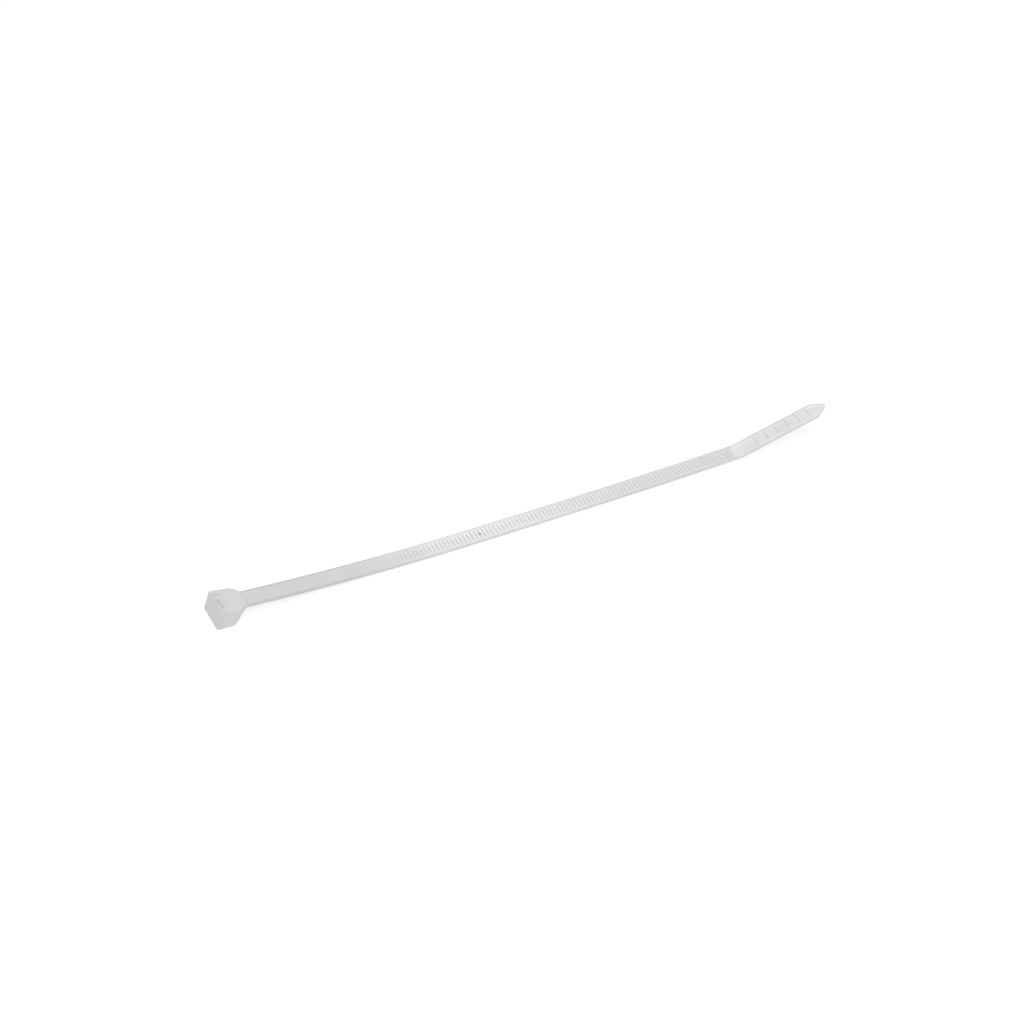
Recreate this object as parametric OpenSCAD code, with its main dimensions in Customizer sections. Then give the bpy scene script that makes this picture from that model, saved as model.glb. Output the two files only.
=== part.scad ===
// Self-locking cable tie, moulded in one piece: a head with a slot and a pawl,
// a strap with a toothed channel, and a bent tail with grip ribs.
// It lies toothed side up, on the foot of its head and the back of its strap.
// +X runs from the head to the tail, +Y across the strap, +Z up.
// The origin is the middle of the tie's box, on the surface that it lies on.

/* [Strap] */
// Developed length, from the outer end of the head to the nose of the tail
total_len = 200.4; // [190:0.1:260]
// Width of the strap over its two rails
strap_w = 4.8; // [4.6:0.05:4.9]
// Extra width where the strap leaves the head, fading out by mid strap
root_extra = 0.2; // [0.1:0.05:0.3]
// Thickness of the strap
strap_t = 1.2; // [1.1:0.05:1.3]
// Bevel along the two back edges of the strap
edge_bevel = 0.2; // [0.1:0.05:0.3]

/* [Teeth] */
// Plain length from the outer end of the head to the first tooth
root_len = 39.05; // [30:0.05:50]
// Distance from one tooth to the next
tooth_pitch = 1.235; // [1:0.005:1.5]
// Height of a full tooth
tooth_h = 0.45; // [0.3:0.05:0.5]
// How far the crests lie below the rails
crest_drop = 0.08; // [0.02:0.02:0.12]
// Width of each rail beside the teeth
rail_w = 0.7; // [0.5:0.05:0.9]
// Number of teeth at the root that grow from shallow to full height
fade_n = 16; // [1:1:30]

/* [Tail] */
// Length from the last tooth to the nose
tail_len = 32.8; // [32:0.1:40]
// Width of the tail
tail_w = 5; // [4.8:0.1:5.2]
// Number of grip ribs
rib_n = 6; // [3:1:6]
// Distance from one rib to the next
rib_pitch = 3.7; // [3:0.1:3.7]
// Width of one rib
rib_w = 0.8; // [0.5:0.1:1.2]
// Depth of the panels between the ribs
panel_d = 0.3; // [0.1:0.05:0.4]
// Width of the rim round the panels
rim_w = 0.65; // [0.5:0.05:0.9]
// Length of the pointed nose
nose_len = 3.8; // [3:0.1:5]
// Radius at the end of the nose
nose_r = 0.8; // [0.4:0.1:1.2]

/* [Head] */
// Width of the head
head_w = 8.5; // [7.8:0.1:9]
// Length of the head's full-width entry face
head_len = 6.1; // [5.9:0.05:6.6]
// Where the tapered shoulders meet the strap
shoulder_end = 8.65; // [8.3:0.05:9.2]
// Length of the head's foot, the exit face
foot_len = 5.05; // [4.95:0.05:5.4]
// Depth of the head below the back of the strap
head_depth = 4; // [3.8:0.1:4.6]
// How far the inner end of the entry face stands above the strap
head_proud = 0.3; // [0.1:0.05:0.4]
// Rise of the entry face from there to its outer end
entry_rise = 0.8; // [0.3:0.05:0.9]
// How far the top of the outer end leans back
end_lean = 0.35; // [0.1:0.05:0.4]
// Bevel round the entry face
face_bevel = 0.25; // [0.1:0.05:0.35]
// Radius of the outer end's two upright corners
corner_r = 0.5; // [0.3:0.05:0.8]

/* [Slot and pawl] */
// Width of the slot that the strap passes through
slot_w = 5.4; // [5.3:0.1:5.8]
// Gap of the slot that the strap passes through
slot_gap = 1.45; // [1.4:0.05:1.6]
// Thickness of the head's outer wall at its foot
outer_wall = 1.15; // [1.05:0.05:1.25]
// Width of the pawl, which runs between the rails
pawl_w = 3.2; // [2.8:0.1:3.2]
// Clearance on each side of the pawl
pawl_gap = 0.25; // [0.2:0.05:0.4]

/* [Lie] */
// Fall of the strap where it leaves the head, in degrees
fall = 5.6; // [4.6:0.1:7]
// Length of the strap that lies flat on the surface
flat_len = 20; // [15:0.1:30]
// Rise of the strap by the end of the teeth, in degrees
rise = 2; // [0.5:0.1:4]
// Bend of the tail, in degrees
tail_bend = 14.4; // [5:0.1:30]
// Length of the strap taken up by that bend
bend_len = 3; // [2:0.1:5]

/* [Hidden] */
nylon = [0.90, 0.89, 0.88];

// Lengths along the strap
straight_end = 10.45;
drop = head_depth * cos(fall) - (straight_end - foot_len) * sin(fall);
arc1_len = drop * (fall * PI / 180) / (1 - cos(fall));
flat_start = straight_end + arc1_len;
flat_end = flat_start + flat_len;
teeth_end0 = total_len - tail_len;
tooth_n = floor((teeth_end0 - root_len) / tooth_pitch);
teeth_end = root_len + tooth_n * tooth_pitch;
bend_start = teeth_end + 0.3;
bend_end = bend_start + bend_len;
rib_0 = total_len - nose_len - 1.6 - (rib_n - 1) * rib_pitch;

// The strap's back line as straights and arcs: start, length, heading, bend
SEG = [
    [0, straight_end, -fall, 0],
    [straight_end, arc1_len, -fall, fall],
    [flat_start, flat_len, 0, 0],
    [flat_end, bend_start - flat_end, 0, rise],
    [bend_start, bend_len, rise, tail_bend],
    [bend_end, total_len - bend_end, rise + tail_bend, 0]
];
function radius(g) = g[1] / (g[3] * PI / 180);
// Step made by the first u millimetres of a segment
function step(g, u) = g[3] == 0
    ? [u * cos(g[2]), u * sin(g[2])]
    : let (r = radius(g), h = g[2] + g[3] * u / g[1])
      [r * (sin(h) - sin(g[2])), r * (cos(g[2]) - cos(h))];
function run_to(i) = i == 0 ? [0, 0] : run_to(i - 1) + step(SEG[i - 1], SEG[i - 1][1]);
// The flat run lies on the surface, and the box is centred on the origin
base_z = -run_to(2)[1];
START = [for (i = [0 : len(SEG) - 1]) run_to(i) + [0, base_z]];
function seg_of(s) = s < SEG[1][0] ? 0 : s < SEG[2][0] ? 1 : s < SEG[3][0] ? 2
    : s < SEG[4][0] ? 3 : s < SEG[5][0] ? 4 : 5;
function heading(s) = let (g = SEG[seg_of(s)]) g[2] + g[3] * (s - g[0]) / g[1];
// Point at s along the strap and n above its back, in the side view
function at(s, n) = let (i = seg_of(s), h = heading(s))
    START[i] + step(SEG[i], s - SEG[i][0]) + n * [-sin(h), cos(h)];
x_low = at(0, -head_depth)[0];
x_high = at(total_len, 0)[0];
x_shift = -(x_low + x_high) / 2;

half_w = strap_w / 2;
root_w = strap_w + root_extra;
wide = max(root_w, tail_w);
channel_w = strap_w - 2 * rail_w;
top_n = strap_t + head_proud;
over = 0.8;
root_s = 5.95;

// Points along the strap between which its arcs are drawn as chords, each
// within 0.02 mm of the arc
STATIONS = concat(
    [root_s, straight_end],
    [for (k = [1 : 8]) straight_end + arc1_len * k / 8],
    [flat_end],
    [for (k = [1 : 4]) flat_end + (bend_start - flat_end) * k / 4],
    [for (k = [1 : 8]) bend_start + bend_len * k / 8],
    [total_len]
);
function line_at(n) = [for (s = STATIONS) at(s, n)];
function back_to_front(v) = [for (k = [len(v) - 1 : -1 : 0]) v[k]];

// Places its children with their X along a segment and their Z out of the strap
module on_seg(i) {
    translate([START[i][0], 0, START[i][1]]) rotate([0, -SEG[i][2], 0]) children();
}

// Side-view outline, extruded across the strap
module across(pts, w) {
    rotate([90, 0, 0]) linear_extrude(w, center = true) polygon(pts);
}

// Side-view outline, extruded along a line that leans 45 degrees out of the
// strap's width, so that a side it cuts off leaves a bevel
module leaning(pts, y) {
    translate([0, y, 0]) rotate([135, 0, 0]) linear_extrude(20, center = true)
        polygon([for (p = pts) [p[0], p[1] * cos(45)]]);
}

// What both sides of the strap have in common
module both_sides() {
    intersection() {
        children();
        mirror([0, 1, 0]) children();
    }
}

// The strap and tail before anything is cut from them
module strap_blank() {
    back = line_at(0);
    top = line_at(strap_t);
    above_back = concat(back, [back[len(back) - 1] + [0, 40], back[0] + [0, 40]]);
    difference() {
        intersection() {
            across(concat(back, back_to_front(top)), wide);
            translate([0, 0, -5]) linear_extrude(40) polygon(concat(
                [for (q = plan_edge) [at(q[0], 0)[0], q[1] / 2]],
                [for (q = back_to_front(plan_edge)) [at(q[0], 0)[0], -q[1] / 2]]
            ));
            both_sides() leaning(above_back, half_w - edge_bevel);
        }
        // What lies outside the nose
        on_seg(5) translate([0, 0, -2]) linear_extrude(strap_t + 4) polygon(concat(
            [[tail_flat - 0.5, -wide], [tail_flat + nose_len + 3, -wide],
             [tail_flat + nose_len + 3, wide], [tail_flat - 0.5, wide]],
            back_to_front(nose_outline(tail_w / 2, 0, tail_flat - 0.5))
        ));
    }
}
tail_flat = total_len - bend_end - nose_len;
// Width of the strap at points along it
plan_edge = [
    [root_s - 1, root_w], [12.45, root_w], [60.45, strap_w],
    [teeth_end - 0.5, strap_w], [bend_end - 0.5, tail_w], [total_len + 2, tail_w]
];

// Outline of the nose in plan, set in by d, from x0 along the tail
function nose_outline(hw, d, x0) =
    let (len5 = total_len - bend_end,
         slope = atan2(hw - nose_r * 0.9, nose_len - nose_r * 0.6),
         r = max(nose_r - d * 0.5, 0.2),
         ex = len5 - d - r)
    concat(
        [[x0, -(hw - d)], [len5 - nose_len - d * 0.3, -(hw - d)]],
        [for (k = [0 : 10]) let (a = (slope - 90) * (1 - k / 5)) [ex + r * cos(a), r * sin(a)]],
        [[len5 - nose_len - d * 0.3, hw - d], [x0, hw - d]]
    );

// Channel with the saw teeth: each has a steep face towards the head
// and a long ramp towards the tail
function grow(k) = min(1, 0.25 + 0.75 * k / fade_n);
function crest(k) = strap_t - crest_drop * grow(k);
tooth_line = concat(
    [for (k = [0 : tooth_n - 1], j = [0 : 2])
        let (s = root_len + k * tooth_pitch, h = tooth_h * grow(k))
        j == 0 ? at(s, crest(k) - h)
        : j == 1 ? at(s + 0.14 * tooth_pitch, crest(k))
        : at(s + 0.34 * tooth_pitch, crest(k))],
    [at(teeth_end, crest(tooth_n) - tooth_h)]
);
module tooth_channel() {
    across(concat(
        tooth_line,
        [for (k = [0 : 40]) at(teeth_end - (teeth_end - root_len) * k / 40, strap_t + over)]
    ), channel_w);
}

// Plain recess that leads from the teeth round the bend to the first rib
module lead_panel() {
    s1 = rib_0 - rib_w / 2;
    across(concat(
        [for (k = [0 : 16]) at(teeth_end - 0.01 + (s1 - teeth_end) * k / 16, strap_t - panel_d)],
        [for (k = [16 : -1 : 0]) at(teeth_end - 0.01 + (s1 - teeth_end) * k / 16, strap_t + over)]
    ), channel_w);
}

// Recessed panels between the grip ribs, and the one inside the nose
module tail_panels() {
    on_seg(5) {
        for (k = [0 : rib_n - 2])
            translate([rib_0 + k * rib_pitch + rib_w / 2 - bend_end, -(tail_w / 2 - rim_w), strap_t - panel_d])
                cube([rib_pitch - rib_w, tail_w - 2 * rim_w, 1 + panel_d]);
        translate([0, 0, strap_t - panel_d * 0.7]) linear_extrude(1)
            polygon(nose_outline(tail_w / 2, rim_w * 0.9, rib_0 + (rib_n - 1) * rib_pitch + rib_w / 2 - bend_end));
    }
}

// Head, drawn with X along the strap from its outer end and Z out of the strap
fillet_r = 2.6;
wall_turn = 62;
face_end = shoulder_end + 0.35;
outer_n = top_n + entry_rise;
slope = atan2(entry_rise, face_end - end_lean);
lean = atan2(end_lean, outer_n + head_depth);
module head_block() {
    side = concat(
        [[0, -head_depth], [foot_len, -head_depth]],
        [for (a = [wall_turn : -wall_turn / 12 : 0]) [shoulder_end - fillet_r * sin(a), fillet_r * (cos(a) - 1)]],
        [[face_end + 0.3, 0.3], [face_end + 0.3, strap_t - 0.1], [face_end, top_n],
         [end_lean + face_bevel, outer_n - face_bevel * tan(slope)],
         [end_lean - face_bevel * tan(lean), outer_n - face_bevel]]
    );
    plan = [
        [-0.5, -head_w / 2], [head_len, -head_w / 2], [(head_len + shoulder_end) / 2, -(head_w + root_w) / 4 - 0.12],
        [shoulder_end, -root_w / 2], [shoulder_end + 0.25, -root_w * 0.3], [shoulder_end + 0.4, 0],
        [shoulder_end + 0.25, root_w * 0.3], [shoulder_end, root_w / 2],
        [(head_len + shoulder_end) / 2, (head_w + root_w) / 4 + 0.12], [head_len, head_w / 2], [-0.5, head_w / 2]
    ];
    // Upright corners of the outer end, which lean back with it
    half = head_w / 2 - corner_r;
    arc = [for (a = [0 : 30 : 90]) [corner_r * (1 - cos(a)), half + corner_r * sin(a)]];
    corners = concat(
        [[-half * 0.268, 0]], arc, [[14, head_w / 2 + 1], [14, -head_w / 2 - 1]],
        [for (q = back_to_front(arc)) [q[0], -q[1]]]
    );
    // The entry face's two long bevels, each on one plane at 45 degrees
    front = [
        [-head_w, -20], [head_w, -20], [head_w, -face_bevel - head_w / 2],
        [0, head_w / 2 - face_bevel], [-head_w, -face_bevel - head_w / 2]
    ];
    on_seg(0) intersection() {
        across(side, head_w + 2);
        translate([0, 0, -head_depth - 1]) linear_extrude(head_depth + 5) polygon(plan);
        translate([0, 0, -head_depth]) rotate([0, lean, 0]) translate([0, 0, -2]) linear_extrude(12) polygon(corners);
        translate([face_end, 0, top_n]) rotate([0, slope, 0]) rotate([90, 0, 90])
            translate([0, 0, -14]) linear_extrude(20) polygon(front);
    }
}

// Through slot with flared mouths, and the pocket that the pawl moves in
module slot() {
    a = outer_wall;
    b = outer_wall + slot_gap;
    on_seg(0) {
        across([
            [a - 0.15, outer_n + 1], [a - 0.15, top_n + 0.55], [a, top_n + 0.1], [a, -head_depth + 0.35],
            [a - 0.2, -head_depth], [a - 0.2, -head_depth - 1], [b + 0.1, -head_depth - 1],
            [b + 0.1, -head_depth], [b, -head_depth + 0.35], [b, top_n], [b + 0.25, top_n + 0.45], [b + 0.25, outer_n + 1]
        ], slot_w);
        across([
            [b - 0.3, 0.4], [b - 0.3, -head_depth - 1], [foot_len - 0.75, -head_depth - 1],
            [foot_len - 0.75, -head_depth + 0.1], [b + 1.9, -1.4], [b + 1.9, 0], [b + 1.6, 0.3]
        ], pawl_w + 2 * pawl_gap);
    }
}

// Pawl: a tongue that hangs from the entry side, with teeth facing the slot
module pawl() {
    b = outer_wall + slot_gap;
    c = b - 0.55;
    on_seg(0) across([
        [b, 0.8], [b + 1.25, 0.8], [b + 1.1, 0.1], [b + 1.05, -0.5], [b + 0.85, -2.2], [b + 0.6, -3.15],
        [b + 0.05, -3.15], [b - 0.15, -2.85], [c, -2.7], [b - 0.15, -2.7 + tooth_pitch - 0.15],
        [c, -2.7 + tooth_pitch], [b - 0.1, -0.5], [b, 0.2]
    ], pawl_w);
}

module cable_tie() {
    color(nylon) translate([x_shift, 0, 0]) union() {
        difference() {
            union() {
                strap_blank();
                head_block();
            }
            tooth_channel();
            lead_panel();
            tail_panels();
            slot();
        }
        pawl();
    }
}

cable_tie();
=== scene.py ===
import math

import bpy
import numpy as np
from mathutils import Matrix, Vector


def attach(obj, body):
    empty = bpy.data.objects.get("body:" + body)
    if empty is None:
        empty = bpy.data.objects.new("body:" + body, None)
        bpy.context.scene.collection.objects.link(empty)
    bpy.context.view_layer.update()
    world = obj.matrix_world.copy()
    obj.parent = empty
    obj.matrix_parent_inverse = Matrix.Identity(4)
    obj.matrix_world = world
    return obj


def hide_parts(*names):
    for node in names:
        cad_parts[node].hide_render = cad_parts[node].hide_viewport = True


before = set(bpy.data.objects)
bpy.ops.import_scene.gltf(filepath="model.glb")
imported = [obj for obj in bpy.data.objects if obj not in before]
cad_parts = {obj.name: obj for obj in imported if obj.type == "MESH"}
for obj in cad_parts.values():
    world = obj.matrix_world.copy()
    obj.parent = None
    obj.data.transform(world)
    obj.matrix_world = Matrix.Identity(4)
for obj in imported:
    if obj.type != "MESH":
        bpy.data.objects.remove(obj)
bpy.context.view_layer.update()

# ---------------------------------------------------------------- the part's numbers, in millimetres
TOTAL, STRAP_T = 200.4, 1.2
FALL, FLAT, RISE, TAIL_BEND, BEND = 5.6, 20.0, 2.0, 14.4, 3.0
STRAIGHT, HEAD_DEPTH, FOOT = 10.45, 4.0, 5.05
ROOT, PITCH, TOOTH_H, CREST_DROP, TEETH, FADE = 39.05, 1.235, 0.45, 0.08, 104, 16
RIB_N, RIB_PITCH, RIB_W, PANEL_D, NOSE = 6, 3.7, 0.8, 0.3, 3.8
HEAD_W, HEAD_LEN, SHOULDER, PROUD, BEVEL = 8.5, 6.1, 8.65, 0.3, 0.25
ENTRY_RISE, END_LEAN, CORNER = 0.8, 0.35, 0.5
WALL, GAP, SLOT_W, PAWL_W, PAWL_GAP = 1.15, 1.45, 5.4, 3.2, 0.25
TOP_N = STRAP_T + PROUD
OUTER_N, FACE_END = TOP_N + ENTRY_RISE, SHOULDER + 0.35
TEETH_END = ROOT + TEETH * PITCH
BEND_START = TEETH_END + 0.3
BEND_END = BEND_START + BEND
RIB_0 = TOTAL - NOSE - 1.6 - (RIB_N - 1) * RIB_PITCH


def lie():
    """The strap's back line as straights and arcs: start, length, heading, bend, and where each starts."""
    f = math.radians(FALL)
    fall_arc = (HEAD_DEPTH * math.cos(f) - (STRAIGHT - FOOT) * math.sin(f)) * f / (1 - math.cos(f))
    flat_0 = STRAIGHT + fall_arc
    flat_1 = flat_0 + FLAT
    legs = [(0, STRAIGHT, -FALL, 0), (STRAIGHT, fall_arc, -FALL, FALL), (flat_0, FLAT, 0, 0),
            (flat_1, BEND_START - flat_1, 0, RISE), (BEND_START, BEND, RISE, TAIL_BEND),
            (BEND_END, TOTAL - BEND_END, RISE + TAIL_BEND, 0)]
    starts = [np.zeros(2)]
    for leg in legs:
        starts.append(starts[-1] + walk(leg, leg[1]))
    return legs, [p - [0, starts[2][1]] for p in starts[:-1]]


def walk(leg, u):
    h0 = math.radians(leg[2])
    if leg[3] == 0:
        return np.array([u * math.cos(h0), u * math.sin(h0)])
    r, h = leg[1] / math.radians(leg[3]), h0 + math.radians(leg[3]) * u / leg[1]
    return np.array([r * (math.sin(h) - math.sin(h0)), r * (math.cos(h0) - math.cos(h))])


LEGS, STARTS = lie()


def at(s, n):
    """Point s along the strap and n above its back, in the side view."""
    i = max(k for k in range(6) if k == 0 or s >= LEGS[k][0])
    leg = LEGS[i]
    h = math.radians(leg[2] + leg[3] * (s - leg[0]) / leg[1])
    return STARTS[i] + walk(leg, s - leg[0]) + n * np.array([-math.sin(h), math.cos(h)])


X_SHIFT = -(at(0, -HEAD_DEPTH)[0] + at(TOTAL, 0)[0]) / 2


def place(p):
    """Points as (s, y, n) to the part's own frame, in millimetres."""
    out = np.empty((len(p), 3))
    for i, (s, y, n) in enumerate(p):
        x, z = at(s, n)
        out[i] = x + X_SHIFT, y, z
    return out


# ---------------------------------------------------------------- strap and tail, as rings along s
def grow(k):
    return min(1.0, 0.25 + 0.75 * k / FADE)


def tooth_floor(s):
    """Height of the toothed floor: a steep face towards the head, a short crest and a long ramp."""
    k = min(int((s - ROOT) / PITCH + 1e-9), TEETH - 1)
    u = (s - ROOT) / PITCH - k
    top = STRAP_T - CREST_DROP * grow(k)
    low = top - TOOTH_H * grow(k)
    nxt = STRAP_T - CREST_DROP * grow(k + 1) - TOOTH_H * grow(k + 1)
    if u < 0.14:
        return low + (top - low) * u / 0.14
    if u < 0.34:
        return top
    return top + (nxt - top) * (u - 0.34) / 0.66


def half_width(s):
    w = np.interp(s, [12.45, 60.45, TEETH_END - 0.5, BEND_END - 0.5], [2.5, 2.4, 2.4, 2.5])
    d = TOTAL - s
    if d >= NOSE:
        return w
    if d >= 0.422:
        return 0.705 + (d - 0.422) / 3.378 * 1.795
    return math.sqrt(max(0.64 - (0.8 - d) ** 2, 0))


def recess(s):
    """(half width, floor height) of what is sunk into the top of the strap."""
    d = TOTAL - s
    last = RIB_0 + (RIB_N - 1) * RIB_PITCH + RIB_W / 2
    if s < ROOT - 0.08:
        return 1.7, STRAP_T
    if s < ROOT:
        return 1.7, STRAP_T + (tooth_floor(ROOT) - STRAP_T) * (s - ROOT + 0.08) / 0.08
    if s < TEETH_END - 0.01:
        return 1.7, tooth_floor(s)
    first = RIB_0 - RIB_W / 2
    if s < first:
        c = 1.7
        edge = min(first - s, 1)
        deep = PANEL_D + (STRAP_T - tooth_floor(TEETH_END - 0.011) - PANEL_D) * max(0, 1 - (s - TEETH_END) / 0.12)
    elif s < last:
        c = 1.85
        k = int((s - first) / RIB_PITCH)
        u = s - first - k * RIB_PITCH
        if u < RIB_W:
            return 1.7 + 0.15 * (u / RIB_W if k == 0 else 1), STRAP_T
        edge, deep = min(u - RIB_W, RIB_PITCH - u), PANEL_D
    else:
        c = 1.915 if d >= 3.9755 else 0.4473 + (d - 0.8527) / 3.1228 * 1.4677 if d >= 0.8527 else \
            math.sqrt(max(0.5075 ** 2 - (1.0925 - d) ** 2, 0)) if d > 0.585 else 0
        if d <= 0.68:
            return max(min(c, half_width(s) * 0.4), half_width(s) * 0.25), STRAP_T
        edge, deep = min(s - last, d - 0.68), PANEL_D * 0.7
    x = min(1, edge / 0.12)
    return c, STRAP_T - deep * x * x * (3 - 2 * x)


def ring(s, shrink=0.0):
    """One cross-section, anticlockwise seen from the head, as (y, n)."""
    w = half_width(s) - shrink
    c, f = recess(s)
    c = min(c, w * 0.72)
    rb, rt = min(0.24, w * 0.45), min(0.12, w * 0.25)
    sunk = STRAP_T - f
    half = [(0.0, 0.0), (w * 0.45, 0.0)]
    half += [(w - rb + rb * math.sin(a), rb - rb * math.cos(a)) for a in np.radians([0, 22.5, 45, 67.5, 90])]
    half += [(w, 0.6)]
    half += [(w - rt + rt * math.cos(a), STRAP_T - rt + rt * math.sin(a)) for a in np.radians([0, 30, 60, 90])]
    e = min(0.07, c * 0.2)
    lip = min(sunk * 0.3, 0.035)
    half += [(c + e, STRAP_T), (c + e * 0.3, STRAP_T - lip * 0.35), (c, STRAP_T - lip),
             (c - e * 0.35, f + lip * 0.6), (c - e * 1.3, f), (c * 0.5, f), (0.0, f)]
    return half + [(-y, n) for y, n in half[-2:0:-1]]


def stations():
    first, last = RIB_0 - RIB_W / 2, RIB_0 + (RIB_N - 1) * RIB_PITCH + RIB_W / 2
    s = list(np.linspace(7.05, ROOT - 0.1, 34)) + [ROOT - 0.05]
    for k in range(TEETH):
        s += [ROOT + (k + u) * PITCH for u in (0.012, 0.07, 0.125, 0.16, 0.31, 0.37, 0.66, 0.975)]
    s += [TEETH_END + d for d in (0.0, 0.06, 0.12)]
    s += list(np.linspace(TEETH_END + 0.3, BEND_END + 0.3, 14)) + list(np.linspace(BEND_END + 0.8, first - 0.5, 8))
    for k in range(RIB_N):
        r = first + k * RIB_PITCH
        s += [r + d for d in (-0.12, -0.09, -0.06, -0.03, 0.0, 0.06, RIB_W / 2, RIB_W - 0.06, RIB_W, RIB_W + 0.03,
                              RIB_W + 0.06, RIB_W + 0.09, RIB_W + 0.12)]
        if k < RIB_N - 1:
            s += [r + RIB_W + d for d in (0.5, 1.0, 1.5, 2.0, 2.4)]
    s += list(np.linspace(last + 0.3, TOTAL - 0.95, 16))
    s += [TOTAL - d for d in (0.9, 0.85, 0.8, 0.74, 0.68, 0.6, 0.52, 0.422, 0.34, 0.27, 0.2, 0.14, 0.09, 0.05, 0.022)]
    return sorted(s)


def strap_mesh():
    ss = stations()
    rings = [ring(s) for s in ss]
    m = len(rings[0])
    verts = [(s, y, n) for s, r in zip(ss, rings) for y, n in r]
    faces = []
    for i in range(len(ss) - 1):
        for j in range(m):
            k = (j + 1) % m
            faces.append((i * m + j, i * m + k, (i + 1) * m + k, (i + 1) * m + j))
    faces.append(tuple(range(m))[::-1])
    # The nose closes on a small end face
    e = len(verts)
    w = half_width(ss[-1])
    verts.append((TOTAL - 0.004, 0, 0.62))
    base = (len(ss) - 1) * m
    faces += [(base + j, base + (j + 1) % m, e) for j in range(m)]
    return place(verts), faces


# ---------------------------------------------------------------- head, from a distance field
def rounded(poly, radius):
    """The outline with arcs for corners; radius is one number or one for each corner."""
    out = []
    for i, p in enumerate(poly):
        r = radius[i] if isinstance(radius, (list, tuple)) else radius
        p = np.array(p, float)
        a, b = np.array(poly[i - 1], float) - p, np.array(poly[(i + 1) % len(poly)], float) - p
        la, lb = np.hypot(*a), np.hypot(*b)
        a, b = a / la, b / lb
        ang = math.acos(max(-1.0, min(1.0, float(a @ b))))
        if r <= 0 or ang > math.pi - 0.12:
            out.append(p)
            continue
        t = min(r / math.tan(ang / 2), 0.45 * la, 0.45 * lb)
        r = t * math.tan(ang / 2)
        c = p + (a + b) / np.hypot(*(a + b)) * r / math.sin(ang / 2)
        v0, v1 = p + a * t - c, p + b * t - c
        a0 = math.atan2(v0[1], v0[0])
        da = (math.atan2(v1[1], v1[0]) - a0 + math.pi) % (2 * math.pi) - math.pi
        m = max(2, math.ceil(abs(da) / math.radians(18)))
        out += [c + r * np.array([math.cos(a0 + da * k / m), math.sin(a0 + da * k / m)]) for k in range(m + 1)]
    return np.array(out)


def to_polygon(poly, u, v):
    """Signed distance in the plane, below 0 inside."""
    best, inside = np.inf, False
    for (ax, ay), (bx, by) in zip(poly, np.roll(poly, -1, axis=0)):
        ex, ey = bx - ax, by - ay
        if ex * ex + ey * ey < 1e-14:
            continue
        wx, wy = u - ax, v - ay
        t = np.clip((wx * ex + wy * ey) / (ex * ex + ey * ey), 0, 1)
        best = np.minimum(best, (wx - ex * t) ** 2 + (wy - ey * t) ** 2)
        if ay != by:
            inside = inside ^ (((ay > v) != (by > v)) & (u < ex * (v - ay) / ey + ax))
    return np.where(inside, -1.0, 1.0) * np.sqrt(best)


def both(a, b, r):
    """Inside a and b, with an edge of radius r."""
    return np.minimum(-r, np.maximum(a, b)) + np.hypot(np.maximum(a + r, 0), np.maximum(b + r, 0))


def either(a, b, r):
    return np.maximum(r, np.minimum(a, b)) - np.hypot(np.maximum(r - a, 0), np.maximum(r - b, 0))


FILLET = [(SHOULDER - 2.6 * math.sin(a), 2.6 * (math.cos(a) - 1)) for a in np.radians(np.linspace(62, 0, 13))]
SIDE = rounded([(0, -HEAD_DEPTH), (FOOT, -HEAD_DEPTH)] + FILLET + [
    (FACE_END + 0.3, 0.3), (FACE_END + 0.3, STRAP_T - 0.1), (FACE_END, TOP_N), (END_LEAN, OUTER_N)],
    [0.2, 0.2] + [0] * 13 + [0.1, 0.1, 0.1, 0.35])
PLAN = rounded([
    (0, -HEAD_W / 2), (HEAD_LEN, -HEAD_W / 2), ((HEAD_LEN + SHOULDER) / 2, -(HEAD_W + 5) / 4 - 0.12),
    (SHOULDER, -2.5), (SHOULDER + 0.25, -1.5), (SHOULDER + 0.4, 0), (SHOULDER + 0.25, 1.5), (SHOULDER, 2.5),
    ((HEAD_LEN + SHOULDER) / 2, (HEAD_W + 5) / 4 + 0.12), (HEAD_LEN, HEAD_W / 2), (0, HEAD_W / 2)],
    [CORNER, 0.5, 0.5, 0.4, 0.4, 0.4, 0.4, 0.4, 0.5, 0.5, CORNER])
# The entry face's two long bevels, as planes, measured from the face
FRONT = np.array([(-HEAD_W, -20), (HEAD_W, -20), (HEAD_W, -BEVEL - HEAD_W / 2), (0, HEAD_W / 2 - BEVEL),
                  (-HEAD_W, -BEVEL - HEAD_W / 2)])
SLOPE, LEAN = ENTRY_RISE / (FACE_END - END_LEAN), END_LEAN / (OUTER_N + HEAD_DEPTH)
A, B = WALL, WALL + GAP
C = B - 0.55
SLOT = np.array([
    (A - 0.15, OUTER_N + 1), (A - 0.15, TOP_N + 0.55), (A, TOP_N + 0.1), (A, -HEAD_DEPTH + 0.35), (A - 0.2, -HEAD_DEPTH),
    (A - 0.2, -HEAD_DEPTH - 1), (B + 0.1, -HEAD_DEPTH - 1), (B + 0.1, -HEAD_DEPTH), (B, -HEAD_DEPTH + 0.35),
    (B, TOP_N), (B + 0.25, TOP_N + 0.45), (B + 0.25, OUTER_N + 1)])
POCKET = rounded([
    (B - 0.3, 0.4), (B - 0.3, -HEAD_DEPTH - 1), (FOOT - 0.75, -HEAD_DEPTH - 1), (FOOT - 0.75, -HEAD_DEPTH + 0.1),
    (B + 1.9, -1.4), (B + 1.9, 0), (B + 1.6, 0.3)], [0, 0, 0, 0.2, 0.3, 0.2, 0.2])
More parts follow.
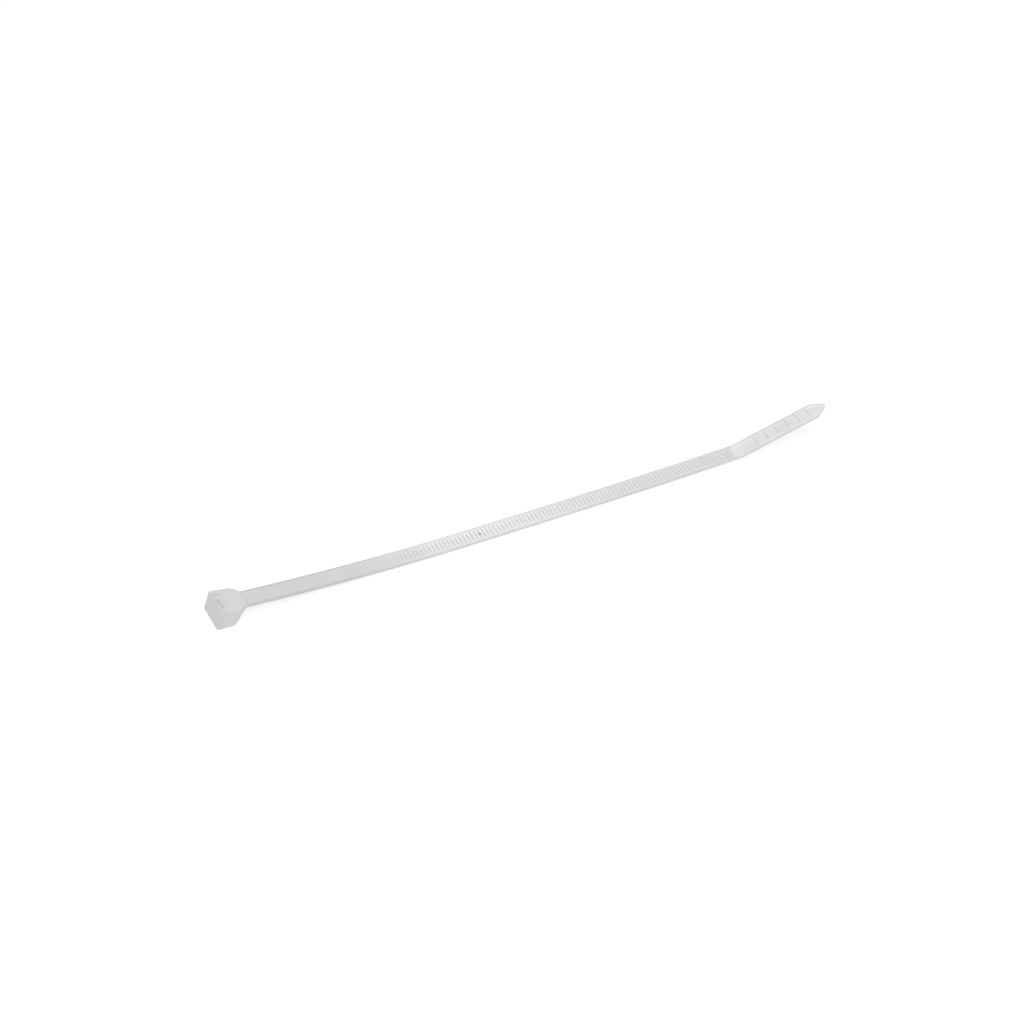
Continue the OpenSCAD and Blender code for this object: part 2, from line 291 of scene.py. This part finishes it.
PAWL = rounded([
    (B, 0.8), (B + 1.25, 0.8), (B + 1.1, 0.1), (B + 1.05, -0.5), (B + 0.85, -2.2), (B + 0.6, -3.15),
    (B + 0.05, -3.15), (B - 0.15, -2.85), (C, -2.7), (B - 0.15, -2.7 + PITCH - 0.15), (C, -2.7 + PITCH),
    (B - 0.1, -0.5), (B, 0.2)], [0, 0, 0.2, 0.2, 0.2, 0.12, 0.1, 0.05, 0.06, 0.05, 0.06, 0.2, 0.1])


def head_field(a, y, n):
    face = n - TOP_N - SLOPE * (FACE_END - a)
    upright = to_polygon(PLAN, np.where(a < 3, a - LEAN * (n + HEAD_DEPTH) * np.clip((3 - a) / 2, 0, 1), a), y)
    body = both(both(to_polygon(SIDE, a, n), upright, 0.2), to_polygon(FRONT, y, face), 0.15)
    slot = both(to_polygon(SLOT, a, n), np.abs(y) - SLOT_W / 2, 0.2)
    pocket = both(to_polygon(POCKET, a, n), np.abs(y) - PAWL_W / 2 - PAWL_GAP, 0.15)
    pawl = both(to_polygon(PAWL, a, n), np.abs(y) - PAWL_W / 2, 0.1)
    body = both(body, -np.minimum(slot, pocket), 0.1)
    return either(body, pawl, 0.08)


def head_mesh(h=0.115):
    lo, hi = np.array([-0.31, -4.6, -4.4]), np.array([9.9, 4.6, 2.7])
    g = [np.arange(l, u + h, h) for l, u in zip(lo, hi)]
    f = np.broadcast_to(head_field(g[0][:, None, None], g[1][None, :, None], g[2][None, None, :]),
                        tuple(len(v) for v in g))
    cells = tuple(k - 1 for k in f.shape)
    total, crossings = np.zeros(cells + (3,)), np.zeros(cells)
    for axis in range(3):
        o = [b for b in range(3) if b != axis]
        for p in (0, 1):
            for q in (0, 1):
                off = [0, 0, 0]
                off[o[0]], off[o[1]] = p, q
                one = f[tuple(slice(d, d + c) for d, c in zip(off, cells))]
                off[axis] = 1
                two = f[tuple(slice(d, d + c) for d, c in zip(off, cells))]
                cut = (one < 0) != (two < 0)
                t = np.where(cut, one / np.where(cut, one - two, 1), 0)
                total[..., axis] += t
                total[..., o[0]] += np.where(cut, p, 0)
                total[..., o[1]] += np.where(cut, q, 0)
                crossings += cut
    mixed = crossings > 0
    index = -np.ones(cells, int)
    index[mixed] = np.arange(mixed.sum())
    ijk = np.argwhere(mixed)
    v = (ijk + total[mixed] / crossings[mixed][:, None]) * h + [g[0][0], g[1][0], g[2][0]]
    faces = []
    s = f < 0
    for axis in range(3):
        u, w = (axis + 1) % 3, (axis + 2) % 3
        shape = list(f.shape)
        a0 = [slice(1, k - 1) for k in shape]
        a0[axis] = slice(0, shape[axis] - 1)
        a1 = list(a0)
        a1[axis] = slice(1, shape[axis])
        one, two = s[tuple(a0)], s[tuple(a1)]
        for flag, flip in ((one & ~two, False), (~one & two, True)):
            p = np.argwhere(flag)
            add = np.ones(3, int)
            add[axis] = 0
            p = p + add
            du, dw = np.zeros(3, int), np.zeros(3, int)
            du[u] = 1
            dw[w] = 1
            quad = [index[tuple((p - d).T)] for d in (du + dw, dw, np.zeros(3, int), du)]
            q = np.stack(quad, 1)
            faces.append(q[:, ::-1] if flip else q)
    faces = np.concatenate(faces)
    assert (faces >= 0).all()
    e = 0.004
    for _ in range(3):
        a, y, n = v.T
        d = head_field(a, y, n)
        grad = np.stack([head_field(a + e, y, n) - head_field(a - e, y, n),
                         head_field(a, y + e, n) - head_field(a, y - e, n),
                         head_field(a, y, n + e) - head_field(a, y, n - e)], 1) / (2 * e)
        size = np.maximum((grad ** 2).sum(1), 0.25)
        move = -(d / size)[:, None] * grad
        length = np.linalg.norm(move, axis=1, keepdims=True)
        v = v + move * np.minimum(1, 0.4 * h / np.maximum(length, 1e-9))
    return place(v), faces.tolist()


def unroll(points):
    """Strap coordinates (s, y, n) of points in the part's own frame, in millimetres."""
    s = np.linspace(-2, TOTAL, 4041)
    line = np.array([at(v, 0) for v in s])
    dirs = np.gradient(line, s, axis=0)
    dirs /= np.linalg.norm(dirs, axis=1, keepdims=True)
    x, z = points[:, 0] - X_SHIFT, points[:, 2]
    at_s = np.interp(x, line[:, 0], s)
    for _ in range(5):
        px, pz, tx, tz = (np.interp(at_s, s, c) for c in (line[:, 0], line[:, 1], dirs[:, 0], dirs[:, 1]))
        at_s = np.clip(at_s + (x - px) * tx + (z - pz) * tz, -2, TOTAL)
    return at_s, points[:, 1], (z - pz) * tx - (x - px) * tz


def tail_outline():
    """Half of the strap's outline in plan, as (s, y)."""
    half = [(0.0, 2.5), (12.0, 2.5), (60.0, 2.4), (TEETH_END - 0.5, 2.4), (BEND_END - 0.5, 2.5), (TOTAL - NOSE, 2.5)]
    half += [(TOTAL - d, half_width(TOTAL - d)) for d in (0.422, 0.3, 0.2, 0.12, 0.06, 0.02)] + [(TOTAL, 0.0)]
    return np.array(half + [(s, -y) for s, y in half[-2::-1]])


# Painted light and shade along the strap, as a share of the colour: lighter over the thin teeth, darker at the thick
# root and head, by place: (s, share)
PAINTED_ALONG = [(1.0, 0.86), (3.0, 0.901), (7.5, 0.876), (10.0, 0.845), (23.5, 0.845), (29.5, 0.859), (35.5, 0.875),
         (40.5, 0.887), (46.5, 0.937), (50.5, 0.98), (54.5, 1.02), (60.5, 1.027), (66.5, 1.091), (73.5, 1.104),
         (80.5, 1.116), (90.5, 1.127), (105.5, 1.108), (115.5, 1.092), (125.5, 1.057), (145.5, 1.033), (164.5, 1.022),
         (165.5, 1.012), (168.5, 1.031), (172.5, 0.987), (176.5, 0.971), (180.5, 0.983), (186.5, 0.954),
         (194.5, 0.988), (200.4, 1.003)]
# How much the teeth's valleys are painted lighter and their crests darker, by place: (s, share)
PAINTED_TOOTH_CONTRAST = [(38.5, 0.217), (50.5, 0.251), (56.5, 0.223), (62.5, 0.241), (70.5, 0.281), (80.5, 0.332), (90.5, 0.314),
          (100.5, 0.325), (112.5, 0.268), (127.5, 0.278), (142.5, 0.221), (156.5, 0.229), (166.5, 0.174)]
# How much painted shade darkens the low half of the sides (below 0 it lightens them), by place: (s, share)
LOW_SIDE_SHADE = [(9.5, 0.03), (34.5, 0.04), (50.5, 0.11), (62.5, 0.2), (150.5, 0.2), (172.5, 0.0), (190.5, -0.02)]
# How much painted light brightens the rails against the teeth (below 1, painted shade), by place: (s, share)
RAIL_PAINTED_LIGHT = [(39.0, 1.0), (55.0, 1.01), (62.0, 1.03), (90.0, 1.03), (100.0, 1.0), (165.0, 0.99)]
# Painted shade along the strap's edges: the share left at the far and near edge, the band's width, and the share left
# at the tail's far and near edge
EDGE_SHADE_FAR, EDGE_SHADE_NEAR, EDGE_SHADE_W, TAIL_SHADE_FAR, TAIL_SHADE_NEAR = 0.72, 0.87, 0.28, 0.7, 0.94
# Painted light in the channel's corners, and painted highlights on the rims round the lead panel and the tail's
# panels
CORNER_PAINTED_LIGHT, LEAD_RIM_HIGHLIGHT, TAIL_RIM_HIGHLIGHT = 0.05, 1.13, 1.14
# Painted light on the head's outer end, flanks and entry face, and painted shade along its ridges
END_PAINTED_LIGHT, FLANK_PAINTED_LIGHT, ENTRY_PAINTED_LIGHT, RIDGE_PAINTED_SHADE = 0.12, 0.055, 0.035, 0.14
# Painted light inside the slot, where shade would fall
SLOT_PAINTED_LIGHT = 1.5


def painted_light_and_shade(points):
    """Painted light and shade, as a share of the colour: lighter where the plastic is thin and inside the slot,
    darker along its edges.
    """
    s, y, n = unroll(points)
    tone = np.interp(s, *zip(*PAINTED_ALONG))
    inset = -to_polygon(tail_outline(), s, y)
    low = np.clip(STRAP_T - n, 0, 9)
    strap, tail = np.clip((s - 8.65) / 0.8, 0, 1), np.clip((s - BEND_START) / 1.0, 0, 1)
    lead = tail * np.clip((RIB_0 - s) / 1.5, 0, 1)
    far = np.clip(0.5 + y / 2, 0, 1)
    # Painted shade: a dark band along the outline and the upper edges, deeper on the far side
    near_edge = np.hypot(inset, low)
    edge = (1 - (1 - EDGE_SHADE_NEAR - (EDGE_SHADE_FAR - EDGE_SHADE_NEAR) * far) * np.exp(-(near_edge / EDGE_SHADE_W) ** 2)) * (1 - tail) \
        + (1 - (1 - TAIL_SHADE_NEAR - (TAIL_SHADE_FAR + 0.1 * lead - TAIL_SHADE_NEAR) * far) * np.exp(-(near_edge / 0.28) ** 2)) * tail
    tone *= 1 - strap * (1 - edge)
    # Painted light on the rails beside the teeth, and a painted highlight on the rim round the panels
    rail = np.clip((s - ROOT) / 20, 0, 1) * np.clip((BEND_START - s) / 0.5, 0, 1)
    wide = np.exp(-((np.abs(y) - 1.8) / 0.38) ** 2) * (n > 0.5)
    tone *= 1 + (np.interp(s, *zip(*RAIL_PAINTED_LIGHT)) - 1 - 0.012 * (1 - far)) * rail * wide
    tone *= 1 + (LEAD_RIM_HIGHLIGHT - 1) * lead * np.exp(-((inset - 0.75) / 0.35) ** 2) * (n > 0.6) * (0.4 + 0.6 * far)
    tone *= 1 + (TAIL_RIM_HIGHLIGHT - 1) * (tail - lead) * np.exp(-((inset - 0.58) / 0.22) ** 2) * (n > 0.6)
    # Painted light in the channel's corners beside the rails, where shade would fall
    tone *= 1 + CORNER_PAINTED_LIGHT * rail * (n < STRAP_T - 0.03) * (n > 0.3) * np.exp(-((np.abs(y) - 1.6) / 0.3) ** 2)
    # Painted shade on the low half of the sides
    side = np.clip((np.abs(y) - 1.9) / 0.3, 0, 1) * strap
    tone *= 1 - np.interp(s, *zip(*LOW_SIDE_SHADE)) * side * np.exp(-(np.clip(n, 0, 9) / 0.8) ** 2)
    # Painted light in the teeth's valleys and painted shade on their crests
    grown = np.clip(0.25 + 0.75 * (s - ROOT) / PITCH / FADE, 0.25, 1)
    middle = STRAP_T - CREST_DROP * grown - TOOTH_H * grown / 2
    teeth = (s > ROOT + 0.05) & (s < TEETH_END) & (np.abs(y) < 1.63) & (n > 0.4) & (n < STRAP_T - 0.01)
    tone *= np.where(teeth, 1 + np.interp(s, *zip(*PAINTED_TOOTH_CONTRAST)) * np.clip((middle - n) / TOOTH_H, -0.5, 0.5), 1)
    # Painted light on the head's outer end and flanks, more than on its entry face, and painted shade along its edges
    # and at the bottom of its outer end
    face = TOP_N + SLOPE * (FACE_END - s)
    depth = [s - LEAN * (n + HEAD_DEPTH), -to_polygon(PLAN, np.clip(s, 0.4, 20), y), face - n]
    near = [np.exp(-(np.clip(d, 0, 9) / 0.25) ** 2) for d in depth]
    gain = sum(w * g for w, g in zip(near, (END_PAINTED_LIGHT, FLANK_PAINTED_LIGHT, ENTRY_PAINTED_LIGHT))) / (sum(near) + 0.01)
    ridge = np.maximum(np.maximum(near[0] * near[1], near[0] * near[2]), near[1] * near[2])
    foot = near[0] * np.exp(-((n + HEAD_DEPTH) / 0.35) ** 2)
    tone *= 1 + (gain - RIDGE_PAINTED_SHADE * ridge - 0.16 * foot) * (1 - strap) * np.clip((9.0 - s) / 0.5, 0, 1)
    # Painted light inside the slot, rising with depth below the entry face
    inside = (s > WALL - 0.32) & (s < FOOT - 0.7) & (np.abs(y) < SLOT_W / 2 + 0.1)
    return np.where(inside, tone + (SLOT_PAINTED_LIGHT - tone) * np.clip((face - 0.1 - n) / 0.6, 0, 1), tone)


# ---------------------------------------------------------------- the tie, one watertight piece
def piece(name, verts, faces):
    mesh = bpy.data.meshes.new(name)
    mesh.from_pydata([tuple(v) for v in verts], [], faces)
    obj = bpy.data.objects.new(name, mesh)
    bpy.context.scene.collection.objects.link(obj)
    return obj


def one_piece():
    strap, head = piece("strap_part", *strap_mesh()), piece("head_part", *head_mesh())
    join = strap.modifiers.new("join", "BOOLEAN")
    join.operation, join.object, join.solver = "UNION", head, "MANIFOLD"
    mesh = bpy.data.meshes.new_from_object(strap.evaluated_get(bpy.context.evaluated_depsgraph_get()))
    for o in (strap, head):
        m = o.data
        bpy.data.objects.remove(o)
        bpy.data.meshes.remove(m)
    mesh.transform(Matrix.Scale(0.001, 4))
    mesh.name = "tie_body"
    obj = bpy.data.objects.new("tie_body", mesh)
    bpy.context.scene.collection.objects.link(obj)
    mesh.polygons.foreach_set("use_smooth", np.ones(len(mesh.polygons), bool))
    mesh.set_sharp_from_angle(angle=math.radians(32))
    return obj


def shade(obj):
    """Writes each point's painted light and shade, a share of the colour, for the material."""
    mesh = obj.data
    co = np.empty(len(mesh.vertices) * 3)
    mesh.vertices.foreach_get("co", co)
    layer = mesh.attributes.get("painted_light_and_shade") or mesh.attributes.new("painted_light_and_shade", "FLOAT", "POINT")
    layer.data.foreach_set("value", painted_light_and_shade(co.reshape(-1, 3) * 1000).astype(np.float32))


tie = one_piece()
shade(tie)


# ---------------------------------------------------------------- materials
def nylon():
    m = bpy.data.materials.new("natural_nylon")
    m.use_nodes = True
    nt = m.node_tree
    nodes, links = nt.nodes, nt.links
    b = nodes["Principled BSDF"]
    b.inputs["Subsurface Weight"].default_value = 0.0
    b.inputs["Subsurface Radius"].default_value = (1.0, 1.0, 1.0)
    b.inputs["Subsurface Scale"].default_value = 0.001
    b.inputs["IOR"].default_value = 1.53

    def node(kind, **values):
        n = nodes.new(kind)
        for k, v in values.items():
            if k in n.inputs:
                n.inputs[k].default_value = v
            else:
                setattr(n, k, v)
        return n

    where = node("ShaderNodeTexCoord").outputs["Object"]

    def noise(scale, detail=3.0, stretch=(1, 1, 1)):
        mp = node("ShaderNodeMapping", Scale=stretch)
        links.new(where, mp.inputs["Vector"])
        n = node("ShaderNodeTexNoise", Scale=scale, Detail=detail)
        links.new(mp.outputs["Vector"], n.inputs["Vector"])
        return n.outputs["Fac"]

    def ramp(value, lo, hi, to_lo, to_hi):
        r = node("ShaderNodeMapRange")
        links.new(value, r.inputs["Value"])
        for k, v in zip(("From Min", "From Max", "To Min", "To Max"), (lo, hi, to_lo, to_hi)):
            r.inputs[k].default_value = v
        return r.outputs["Result"]

    def mix(fac, a, c):
        n = node("ShaderNodeMix", data_type="RGBA")
        links.new(fac, n.inputs["Factor"])
        for v, i in ((a, 6), (c, 7)):
            if isinstance(v, tuple):
                n.inputs[i].default_value = v
            else:
                links.new(v, n.inputs[i])
        return n.outputs[2]

    # The thick head is a little warmer than the thin strap
    xyz = node("ShaderNodeSeparateXYZ")
    links.new(where, xyz.inputs["Vector"])
    share = node("ShaderNodeAttribute", attribute_name="painted_light_and_shade").outputs["Fac"]
    # The head takes the painted slot light's tint where the painted light is strongest, chiefly inside the slot
    tone = mix(ramp(share, 0.95, 1.1, 0, 1), HEAD_TONE, PAINTED_SLOT_LIGHT_TINT)
    tone = mix(ramp(xyz.outputs["X"], -0.0925, -0.088, 0, 1), tone, ROOT_TONE)
    tone = mix(ramp(xyz.outputs["X"], -0.065, -0.035, 0, 1), tone, STRAP_TONE)
    # Clouding in the natural plastic
    cloud = ramp(noise(90, 1.5, (0.35, 1, 1)), 0.3, 0.7, 0.0, 1.0)
    dim = node("ShaderNodeMix", data_type="RGBA", blend_type="MULTIPLY")
    dim.inputs["Factor"].default_value = 1.0
    links.new(tone, dim.inputs[6])
    links.new(mix(cloud, (0.965, 0.965, 0.965, 1), (1.0, 1.0, 1.0, 1)), dim.inputs[7])
    # The colour is multiplied by the painted light and shade
    lit = node("ShaderNodeMix", data_type="RGBA", blend_type="MULTIPLY")
    lit.inputs["Factor"].default_value = 1.0
    links.new(dim.outputs[2], lit.inputs[6])
    links.new(share, lit.inputs[7])
    # One speck of dirt on the teeth, found by its place along and across
    flat = node("ShaderNodeVectorMath", operation="MULTIPLY")
    links.new(where, flat.inputs[0])
    flat.inputs[1].default_value = (1, 1, 0)
    away = node("ShaderNodeVectorMath", operation="DISTANCE")
    links.new(flat.outputs["Vector"], away.inputs[0])
    away.inputs[1].default_value = SPECK
    speck = ramp(away.outputs["Value"], 0.00021, 0.00036, 1, 0)
    links.new(mix(speck, lit.outputs[2], (0.05, 0.047, 0.045, 1)), b.inputs["Base Color"])

    links.new(ramp(noise(420, 1.0), 0.25, 0.75, 0.42, 0.56), b.inputs["Roughness"])
    bump = node("ShaderNodeBump", Strength=0.08, Distance=0.00002)
    links.new(noise(1400, 1.0), bump.inputs["Height"])
    wave = node("ShaderNodeBump", Strength=0.2, Distance=0.0001)
    links.new(noise(260, 1.0, (0.5, 1, 1)), wave.inputs["Height"])
    links.new(bump.outputs["Normal"], wave.inputs["Normal"])
    links.new(wave.outputs["Normal"], b.inputs["Normal"])
    return m


# Tint of the painted light inside the slot
PAINTED_SLOT_LIGHT_TINT = (0.655, 0.646, 0.646, 1)
HEAD_TONE, ROOT_TONE, STRAP_TONE = (0.66, 0.636, 0.636, 1), (0.668, 0.656, 0.671, 1), (0.666, 0.665, 0.677, 1)
SPECK = (-0.017944, -0.000122, 0)
tie.data.materials.clear()
tie.data.materials.append(nylon())
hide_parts("cable_tie")
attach(tie, "root")

# ---------------------------------------------------------------- stage
floor_mesh = bpy.data.meshes.new("floor")
floor_mesh.from_pydata([(-3, -3, 0), (3, -3, 0), (3, 3, 0), (-3, 3, 0)], [], [(0, 1, 2, 3)])
floor = bpy.data.objects.new("floor", floor_mesh)
bpy.context.scene.collection.objects.link(floor)
pale = bpy.data.materials.new("floor_pale")
pale.use_nodes = True
pb = pale.node_tree.nodes["Principled BSDF"]
pb.inputs["Base Color"].default_value = (0.3, 0.3, 0.3, 1)
pb.inputs["Roughness"].default_value = 0.9
pb.inputs["Specular IOR Level"].default_value = 0.0
pb.inputs["Emission Color"].default_value = (1, 1, 1, 1)
pb.inputs["Emission Strength"].default_value = 0.72
floor_mesh.materials.append(pale)

world = bpy.data.worlds.new("studio")
bpy.context.scene.world = world
world.use_nodes = True
world.node_tree.nodes["Background"].inputs["Color"].default_value = (1, 1, 1, 1)
world.node_tree.nodes["Background"].inputs["Strength"].default_value = 0.6


def area(name, loc, target, size, power):
    data = bpy.data.lights.new(name, "AREA")
    data.shape = "RECTANGLE"
    data.size, data.size_y = size
    data.energy = power
    obj = bpy.data.objects.new(name, data)
    bpy.context.scene.collection.objects.link(obj)
    obj.location = loc
    obj.rotation_mode = "QUATERNION"
    obj.rotation_quaternion = (Vector(target) - Vector(loc)).to_track_quat("-Z", "Y")
    return obj


area("overhead", (-0.15, -0.3, 1.0), (0.0, 0, 0), (1.0, 0.8), 8.0)

# ---------------------------------------------------------------- camera
# The photograph's camera, in the part's own frame
AZ, EL, ROLL = math.radians(39.0292), math.radians(44.8345), math.radians(-12.5622)
FOCAL_PX = 2250.8995
fwd = np.array([math.sin(AZ) * math.cos(EL), math.cos(AZ) * math.cos(EL), -math.sin(EL)])
right = np.array([math.cos(AZ), -math.sin(AZ), 0.0])
down = np.cross(fwd, right)
r2 = right * math.cos(ROLL) + down * math.sin(ROLL)
d2 = -right * math.sin(ROLL) + down * math.cos(ROLL)
cd = bpy.data.cameras.new("camera")
cam = bpy.data.objects.new("camera", cd)
bpy.context.scene.collection.objects.link(cam)
cd.sensor_fit = "HORIZONTAL"
cd.sensor_width = 36.0
cd.lens = FOCAL_PX / 1024 * 36.0
cd.clip_start, cd.clip_end = 0.01, 20.0
cam.matrix_world = Matrix((
    (r2[0], -d2[0], -fwd[0], (-188.183 + X_SHIFT) / 1000),
    (r2[1], -d2[1], -fwd[1], -344.230 / 1000),
    (r2[2], -d2[2], -fwd[2], 446.602 / 1000),
    (0, 0, 0, 1),
))
bpy.context.scene.camera = cam

scene = bpy.context.scene
scene.view_settings.view_transform = "Standard"
scene.view_settings.look = "None"
scene.view_settings.exposure = 0.0
scene.view_settings.gamma = 1.0
